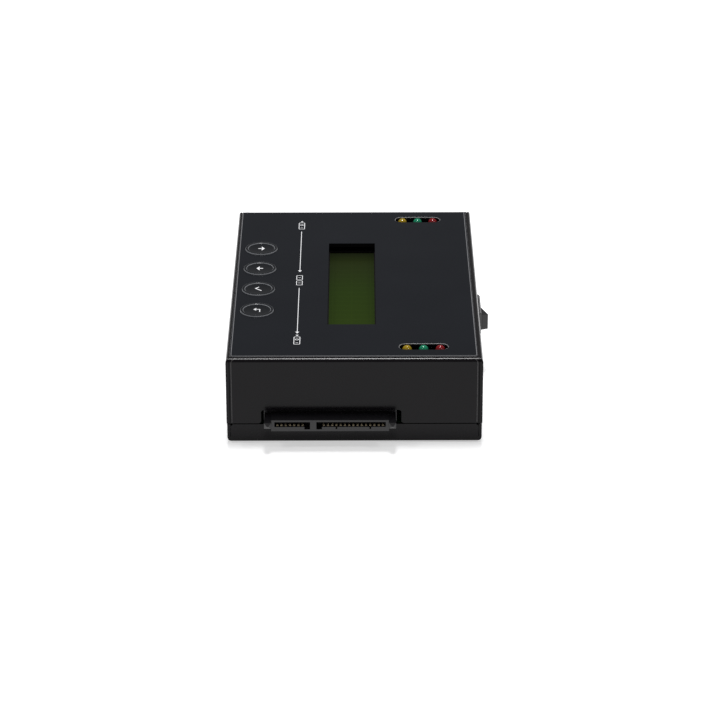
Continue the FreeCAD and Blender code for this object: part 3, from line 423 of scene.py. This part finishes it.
class Print:
    """Flat printed shapes on one level, gathered into one mesh as thick as the ink."""

    def __init__(self, level):
        self.level = level
        self.vertices = []
        self.faces = []

    def patch(self, outline):
        """A convex patch, given as its corners anticlockwise."""
        start = len(self.vertices)
        count = len(outline)
        for height in (self.level, self.level + INK):
            self.vertices += [Vector((x, y, height)) for x, y in outline]
        self.faces.append([start + count + index for index in range(count)])
        self.faces.append([start + index for index in reversed(range(count))])
        for index in range(count):
            following = (index + 1) % count
            self.faces.append([start + index, start + following,
                               start + count + following, start + count + index])

    def line(self, start, end, width):
        """A stroke with square ends."""
        start, end = Vector(start), Vector(end)
        side = Vector((start.y - end.y, end.x - start.x)).normalized() * (width / 2)
        self.patch([start - side, end - side, end + side, start + side])

    def path(self, points, width):
        """An open stroke through several points, mitred where it turns."""
        points = [Vector(point) for point in points]
        left, right = mitred(points, width / 2), mitred(points, -width / 2)
        for last, inner, sense in ((0, 1, 1), (-1, -2, -1)):
            run = (points[inner] - points[last]).normalized() * sense
            square = Vector((-run.y, run.x)) * (width / 2)
            left[last] = points[last] + square
            right[last] = points[last] - square
        for index in range(len(points) - 1):
            self.patch([right[index], right[index + 1], left[index + 1], left[index]])

    def loop(self, outline, width):
        """A closed stroke along an outline, mitred at its corners."""
        inner, outer = mitred(outline, width / 2), mitred(outline, -width / 2)
        for index in range(len(outline)):
            following = (index + 1) % len(outline)
            self.patch([outer[index], outer[following], inner[following], inner[index]])

    def make(self, name, material, body=BODY, lie=None):
        """Make the piece; lie, where given, carries the flat print onto its face."""
        if lie:
            self.vertices = [lie @ vertex for vertex in self.vertices]
        return make_piece(name, self.vertices, self.faces, material, body)


def mitred(outline, inward):
    """An outline moved inward by a distance, for corners given anticlockwise."""
    points = [Vector(point) for point in outline]
    least = 0.3                 # keeps the mitre of a sharp corner short
    moved = []
    for index, point in enumerate(points):
        before = (point - points[index - 1]).normalized()
        after = (points[(index + 1) % len(points)] - point).normalized()
        across = Vector((-before.y - after.y, before.x + after.x)).normalized()
        reach = inward / max(least, math.sqrt((1 + before.dot(after)) / 2))
        moved.append(point + across * reach)
    return moved


def arc_points(x, y, radius, start, turn, count):
    """Points along an arc; the angles are in turns of a full circle."""
    for index in range(count + 1):
        angle = 2 * math.pi * (start + turn * index / count)
        yield Vector((x + radius * math.cos(angle), y + radius * math.sin(angle)))


def circle_points(x, y, radius, count):
    """Points round a circle, anticlockwise."""
    return list(arc_points(x, y, radius, 0, 1, count))[:-1]


def rounded(low_x, low_y, high_x, high_y, radius, count=8):
    """A rectangle's outline with round corners, anticlockwise."""
    outline = []
    for index, (x, y) in enumerate(((high_x - radius, low_y + radius),
                                    (high_x - radius, high_y - radius),
                                    (low_x + radius, high_y - radius),
                                    (low_x + radius, low_y + radius))):
        outline += arc_points(x, y, radius, 0.25 * index - 0.25, 0.25, count)
    return outline


def lofted(rings, capped=False):
    """Corners and faces of a skin over rings that have as many points each."""
    sides = len(rings[0])
    vertices = [vertex for ring in rings for vertex in ring]
    faces = []
    for ring in range(len(rings) - 1):
        low, high = ring * sides, (ring + 1) * sides
        for index in range(sides):
            following = (index + 1) % sides
            faces.append([low + index, low + following, high + following, high + index])
    if capped:
        top = (len(rings) - 1) * sides
        faces.append(list(reversed(range(sides))))
        faces.append([top + index for index in range(sides)])
    return vertices, faces


def turned(name, profile, centre, material, body, sides=96):
    """A piece turned about a vertical axis from a profile of radius and height."""
    rings = [[Vector((*point, height)) for point in circle_points(*centre, radius, sides)]
             for radius, height in profile]
    vertices, faces = lofted(rings, capped=True)
    return make_piece(name, vertices, faces, material, body, smooth=True)


def banded(name, outline, section, material):
    """A closed band: a section of inward distance and height, run along an outline."""
    rings = [[Vector((*point, height)) for point in mitred(outline, inward)]
             for inward, height in section + section[:1]]
    sides = len(outline)
    vertices, faces = lofted(rings)
    whole = len(section) * sides
    faces = [[index % whole for index in face] for face in faces]
    return make_piece(name, vertices[:whole], faces, material, BODY)


def eased(value):
    """A soft step from 0 to 1."""
    value = min(1.0, max(0.0, value))
    return value * value * (3 - 2 * value)


# ---------------------------------------------------------------- keys

def make_keys(film):
    """Keys embossed in film: a raised ring with soft edges round a flat dish."""
    film_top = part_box("panel_film")[1].z
    lap = 0.17 * MM             # the cap covers the play round the key
    # how far in from the cap's rim each part of its profile lies
    wall, shoulder, crest, lip, dish_edge = 0.3 * MM, 0.32 * MM, 0.65 * MM, 0.85 * MM, 1.25 * MM
    # and how far down, under the film's face or the key's
    rooted, foot, rounding, sag = 0.3 * MM, 0.04 * MM, 0.05 * MM, 0.02 * MM
    steps = 8
    for key in KEYS:
        low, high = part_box("%s_button" % key)
        radius = (high.x - low.x) / 2 + lap
        dish = high.z - KEY_DISH
        slopes = (((radius, film_top - foot), (radius - wall, high.z - rounding)),
                  ((radius - shoulder, high.z - rounding), (radius - crest, high.z)),
                  ((radius - lip, high.z), (radius - dish_edge, dish)))
        profile = [(radius - wall, low.z), (radius, film_top - rooted)]
        for (start, base), (end, crown) in slopes:
            for step in range(steps + 1):
                part = step / steps
                profile.append((start + (end - start) * part, base + (crown - base) * eased(part)))
        profile.append((0.2 * radius, dish - sag))
        piece = turned("%s_key_cap" % key, profile, key_centre(key), film, "%s_key" % key)
        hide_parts("%s_button" % key)


def make_key_marks(ink):
    """A generic mark on each key: up and down arrows, a tick, and an arrow back."""
    stroke = 0.3 * MM
    half_width, half_length = 1.0 * MM, 1.6 * MM
    sunk = 0.005 * MM
    for key in KEYS:
        x, y = key_centre(key)
        mark = Print(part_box("%s_button" % key)[1].z - KEY_DISH - sunk)

        def at(across, along):
            """A point of the mark, in halves of its width and length."""
            return Vector((x + across * half_width, y + along * half_length))

        if key in ("up", "down"):
            tip = 1 if key == "up" else -1
            mark.patch([at(0.1 * tip, tip), at(1.1 * tip, 0), at(0.1 * tip, -tip)][::-1])
            mark.line(at(-tip, 0), at(0.2 * tip, 0), 1.6 * stroke)
        elif key == "enter":
            mark.path([at(0.1, 0.9), at(-0.9, 0.2), at(1.0, -0.9)], 1.3 * stroke)
        else:
            mark.path([at(0.9, -0.9), at(0.9, 0.3), at(-0.4, 0.3)], stroke)
            mark.patch([at(-1.1, 0.3), at(-0.2, -0.3), at(-0.2, 0.9)])
        mark.make("%s_key_mark" % key, ink, "%s_key" % key)


# ---------------------------------------------------------------- panel print

def slot_outline(end):
    """The round-ended outline of a light slot, from its three lamps."""
    lamps = [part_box("%s_lamp_%s" % (end, lamp)) for lamp in LAMPS]
    x = sum(low.x + high.x for low, high in lamps) / (2 * len(lamps))
    y = sum(low.y + high.y for low, high in lamps) / (2 * len(lamps))
    half_length, half_width = 7.5 * MM, 2.25 * MM
    straight = 0.01 * MM
    return rounded(x - half_length, y - half_width, x + half_length, y + half_width,
                   half_width - straight, count=12)


def make_film_edges(cut_film):
    """The film's pale cut edge, round its outside and in each light slot."""
    low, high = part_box("panel_film")
    corner, thin = 0.8 * MM, 0.03 * MM
    outline = rounded(low.x, low.y, high.x, high.y, corner)
    banded("panel_film_edge", outline,
           [(-thin, low.z + thin), (-thin, high.z - thin), (thin, high.z - thin),
            (thin, low.z + thin)], cut_film)
    rim, depth, proud = 0.09 * MM, 0.22 * MM, 0.01 * MM
    for end in ENDS:
        banded("%s_slot_edge" % end, slot_outline(end),
               [(0.0, high.z + proud), (0.0, high.z - depth), (rim, high.z - depth),
                (rim, high.z - thin)], cut_film)


def frame_symbol(printed, x, y, half_length, stroke, line_y):
    """A small upright frame with round corners, and a short line across it."""
    half_width, corner, half_line = 0.9 * MM, 0.3 * MM, 0.4 * MM
    printed.loop(rounded(x - half_width, y - half_length, x + half_width, y + half_length,
                         corner, count=4), stroke)
    printed.line((x - half_line, line_y), (x + half_line, line_y), stroke)


def drive_symbol(printed, x, y, stroke, into):
    """A disk drive seen from above, and a wedge beyond it that points away or into it."""
    platter, platter_y, line_y = 0.45 * MM, 0.8 * MM, -1.6 * MM
    near, far, half_wedge = 3.3 * MM, 4.2 * MM, 0.5 * MM
    frame_symbol(printed, x, y, 2.7 * MM, stroke, y + line_y)
    printed.loop(circle_points(x, y + platter_y, platter, 20), stroke)
    base, tip = (far, near) if into else (near, far)
    wedge = [(x - half_wedge, y + base), (x, y + tip), (x + half_wedge, y + base)]
    printed.patch(wedge if into else wedge[::-1])


def make_panel_print(silver, white):
    """The film's silver border, and the arrow from the source drive to the target."""
    low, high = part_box("panel_film")
    level = high.z + 0.004 * MM
    inset, corner, border_width = 0.32 * MM, 0.6 * MM, 0.18 * MM
    skew = 0.12 * MM            # the border is printed this far out of true
    border = Print(level)
    outline = rounded(low.x + inset, low.y + inset, high.x - inset, high.y - inset, corner)
    border.loop([(x - skew * y / high.y, y) for x, y in outline], border_width)
    border.make("panel_border_print", silver)

    line_x, stroke = -17.4 * MM, 0.21 * MM
    head, half_head = 1.3 * MM, 0.6 * MM
    arrow = Print(level)
    for far, near in ((40.6 * MM, 8.0 * MM), (-6.1 * MM, -39.7 * MM)):
        arrow.line((line_x, far), (line_x, near), stroke)
        arrow.patch([(line_x - half_head, near), (line_x, near - head),
                     (line_x + half_head, near)])
    arrow.make("copy_arrow_print", white)

    source_y, target_y, pair_y = 45.4 * MM, -46.2 * MM, 2.1 * MM
    drives = Print(level)
    drive_symbol(drives, line_x, source_y, stroke, into=False)
    drive_symbol(drives, line_x, target_y, stroke, into=True)
    for y in (-pair_y, pair_y):
        frame_symbol(drives, line_x, y, 1.7 * MM, stroke, y)
    drives.make("drive_symbol_print", white)


def make_flange_highlight_strips(highlight_finish):
    """Painted highlights: pale strips on the end flanges' edges beside their seams and up over the
    fold.
    """
    low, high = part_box("top_cover")
    inset, bend, corner, width = 1.65 * MM, 1.2 * MM, 1.6 * MM, 0.2 * MM
    foot = low.z + 0.3 * MM
    half = (high.x - low.x) / 2 - inset
    fold = high.z - bend
    wrap = math.radians(66)     # how far round the fold the edges reach
    crest = fold + bend * wrap
    for name, end, turn in (("near", low.y, 1), ("far", high.y, -1)):
        # each strip is a painted highlight, standing in for the light that the edge and the fold
        # catch
        edges = Print(0.0)
        for side in (-1, 1):
            bow = list(arc_points(side * (half - corner), crest - corner, corner,
                                  0.25 - 0.25 * side, 0.25 * side, 12))
            edges.path([Vector((side * half, foot))] + bow, width)
        edges.vertices = [wrapped_round(point, end, turn, fold, bend)
                          for point in edges.vertices]
        edges.make("%s_flange_highlight_strips" % name, highlight_finish, BODY)


def wrapped_round(point, end, turn, fold, bend):
    """Stand a flat print up against an end of the cover, and wrap it over the fold."""
    x, height, proud = point
    angle = max(0.0, height - fold) / bend
    reach = bend + proud
    return Vector((turn * x, end + turn * (bend - reach * math.cos(angle)),
                   min(height, fold) + reach * math.sin(angle)))


# ---------------------------------------------------------------- lamps and fittings

def make_lamps(finishes):
    """Domed lamps, each with its metal cup and chip inside."""
    dome_steps = 14
    cup_depth, cup_height, cup_floor, chip_top = 1.6 * MM, 1.1 * MM, 0.6 * MM, 0.85 * MM
    for end in ENDS:
        for lamp in LAMPS:
            node = "%s_lamp_%s" % (end, lamp)
            low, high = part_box(node)
            centre = ((low.x + high.x) / 2, (low.y + high.y) / 2)
            radius = (high.x - low.x) / 2
            straight = high.z - radius
            profile = [(radius, low.z), (radius, straight)]
            for step in range(1, dome_steps):
                angle = math.pi / 2 * step / dome_steps
                profile.append((radius * math.cos(angle), straight + radius * math.sin(angle)))
            profile.append((0.04 * radius, high.z))
            dome = turned("%s_dome" % node, profile, centre, finishes["lamp_" + lamp], BODY,
                          64)
            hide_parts(node)
            base = straight - cup_depth
            turned("%s_cup" % node,
                   [(0.3 * radius, base), (0.5 * radius, base + cup_height),
                    (0.44 * radius, base + cup_height), (0.26 * radius, base + cup_floor)],
                   centre, finishes["tinned_metal"], BODY, 32)
            turned("%s_chip" % node,
                   [(0.16 * radius, base + cup_floor), (0.16 * radius, base + chip_top)],
                   centre, finishes["gold_plate"], BODY, 4)


def make_rocker_marks(ink):
    """The usual line and ring on the rocker's two faces."""
    joint = next(joint for joint in frame["record"]["behaviour"]["joints"]
                 if joint["child"] == "rocker")
    pivot = Vector(joint["pos_m"])
    face, ridge_y = 1.573 * MM, 0.29 * MM
    middle, radius, half_line, stroke = 3.3 * MM, 1.0 * MM, 1.1 * MM, 0.34 * MM
    tilt = math.radians(joint["range_deg"][1])
    ridge = Matrix.Translation(pivot + Vector((face, ridge_y, 0)))
    upright = Matrix(((0, 0, 1, 0), (1, 0, 0, 0), (0, 1, 0, 0), (0, 0, 0, 1)))
    ring = Print(0.0)
    ring.loop(circle_points(middle, 0, radius, 32), stroke)
    ring.make("rocker_ring_mark", ink, "rocker", lie=ridge @ upright)
    line = Print(0.0)
    line.line((-middle, -half_line), (-middle, half_line), stroke)
    line.make("rocker_line_mark", ink, "rocker",
              lie=ridge @ Matrix.Rotation(tilt, 4, "Z") @ upright)


def make_case_screws(steel):
    """Countersunk screws with cross recesses, seen from below."""
    low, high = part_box("case_screws")
    head, shank, sink = 2.5 * MM, 1.5 * MM, 1.0 * MM
    arm, half_arm, recess, taper = 1.3 * MM, 0.28 * MM, 0.7 * MM, 0.7
    sides = 48
    cross = [(arm, half_arm), (half_arm, half_arm), (half_arm, arm)]
    outline = []
    for quarter in range(4):
        turn = Matrix.Rotation(quarter * math.pi / 2, 2)
        outline += [turn @ Vector(point) for point in cross]
    places = [(x, y) for x in (low.x + head, high.x - head) for y in (low.y + head, high.y - head)]
    bottom = low.z
    shape = bmesh.new()
    for x, y in places:
        rims = [[shape.verts.new((x + point.x, y + point.y, bottom)) for point in ring]
                for ring in (circle_points(0, 0, head, sides), outline)]
        edges = [shape.edges.new((rim[index - 1], rim[index]))
                 for rim in rims for index in range(len(rim))]
        bmesh.ops.triangle_fill(shape, use_beauty=True, use_dissolve=False, edges=edges)
        floor = [shape.verts.new((x + taper * point.x, y + taper * point.y, bottom + recess))
                 for point in outline]
        neck, tip = [[shape.verts.new((x + point.x, y + point.y, height))
                      for point in circle_points(0, 0, shank, sides)]
                     for height in (bottom + sink, high.z)]
        for lower, upper in ((rims[1], floor), (rims[0], neck), (neck, tip)):
            for index in range(len(lower)):
                shape.faces.new((lower[index - 1], lower[index], upper[index], upper[index - 1]))
        shape.faces.new(floor)
        shape.faces.new(tip)
    bmesh.ops.recalc_face_normals(shape, faces=shape.faces)
    mesh = bpy.data.meshes.new("cross_head_screws")
    shape.to_mesh(mesh)
    shape.free()
    screws = ride_mesh("cross_head_screws", mesh, steel, BODY)
    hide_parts("case_screws")


# ---------------------------------------------------------------- studio

def make_floor():
    """A pale floor that reads white and keeps the box's shadow."""
    finish = Finish("pale_floor")
    cloud = finish.grain(size=0.3)
    pale = finish.node("ShaderNodeBsdfDiffuse", None, {
        "Color": finish.blend(cloud, tone(226, 226, 227), tone(229, 229, 230))})
    glow = finish.node("ShaderNodeEmission", None, {"Strength": 0.52})
    dark = finish.node("ShaderNodeEmission", None, {"Strength": 0.0})
    seen = sum((finish.node("ShaderNodeLightPath", output=ray)
                for ray in ("Is Glossy Ray", "Is Transmission Ray")),
               finish.node("ShaderNodeLightPath", output="Is Camera Ray"))
    chosen = finish.node("ShaderNodeMixShader", None, {0: seen.clamped(), 1: dark, 2: glow})
    whole = finish.node("ShaderNodeAddShader", None, {0: pale, 1: chosen})
    finish.node("ShaderNodeOutputMaterial", None, {"Surface": whole})

    half, gap = 8.0, 0.01 * MM
    mesh = bpy.data.meshes.new("floor")
    mesh.from_pydata([(-half, -half, 0), (half, -half, 0), (half, half, 0), (-half, half, 0)],
                     [], [(0, 1, 2, 3)])
    mesh.materials.append(finish.material)
    floor = bpy.data.objects.new("floor", mesh)
    floor.location.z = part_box("rubber_feet")[0].z - gap
    bpy.context.scene.collection.objects.link(floor)


def make_sky():
    """An even grey sky."""
    world = bpy.data.worlds.new("studio_sky")
    bpy.context.scene.world = world
    sky = Network(world)
    grey = sky.node("ShaderNodeBackground", None, {"Color": (1, 1, 1, 1), "Strength": 0.25})
    sky.node("ShaderNodeOutputWorld", None, {"Surface": grey})


def add_softbox(name, direction, width, height, power):
    """A soft lamp that faces the box from a direction."""
    distance = 1.2
    light = bpy.data.lights.new(name, "AREA")
    light.shape = "RECTANGLE"
    light.size = width
    light.size_y = height
    light.energy = power
    lamp = bpy.data.objects.new(name, light)
    lamp.location = Vector(direction).normalized() * distance
    lamp.rotation_euler = (-lamp.location).to_track_quat("-Z", "Y").to_euler()
    bpy.context.scene.collection.objects.link(lamp)


def make_lights():
    """One long softbox above the box, a little behind it, and two square ones high in front."""
    add_softbox("top_softbox", (0, 0.16, 0.987), width=0.19, height=0.48, power=13.6)
    for name, side in (("left_softbox", -1), ("right_softbox", 1)):
        add_softbox(name, (side * 0.54, -0.35, 0.76), width=0.12, height=0.12, power=1.1)


def make_camera():
    """A long lens that looks along +Y and down on the target end."""
    data = bpy.data.cameras.new("camera")
    data.sensor_width = 36.0
    data.lens = 149.6
    data.clip_end = 30.0
    camera = bpy.data.objects.new("camera", data)
    camera.location = (1.70 * MM, -871.1 * MM, 402.55 * MM)
    down = math.radians(24.78)
    roll = math.radians(-0.13)
    tilt = Matrix.Rotation(math.pi / 2 - down, 4, "X") @ Matrix.Rotation(roll, 4, "Z")
    camera.rotation_euler = tilt.to_euler()
    bpy.context.scene.collection.objects.link(camera)
    bpy.context.scene.camera = camera


finishes = make_finishes()
silver_ink = printed_ink("silver_ink", tone(132, 132, 135), tone(96, 96, 98))
white_ink = printed_ink("white_ink", tone(248, 248, 250), tone(205, 207, 209))
cut_film = printed_ink("cut_film_edge", tone(165, 165, 168), tone(120, 120, 122))
# painted highlight: the pale finish of the strips along the flanges' edges and over the fold
painted_edge_highlight = moulded_black("painted_edge_highlight", tone(52, 50, 51), tone(66, 64, 65),
                          roughness=0.3, gloss=0.4)
paint_nodes(finishes)
make_keys(finishes["key_film"])
make_key_marks(white_ink)
make_film_edges(cut_film)
make_panel_print(silver_ink, white_ink)
make_lamps(finishes)
make_flange_highlight_strips(painted_edge_highlight)
make_rocker_marks(white_ink)
make_case_screws(finishes["plated_steel"])
make_floor()
make_sky()
make_lights()
make_camera()
bpy.context.scene.view_settings.view_transform = "Standard"
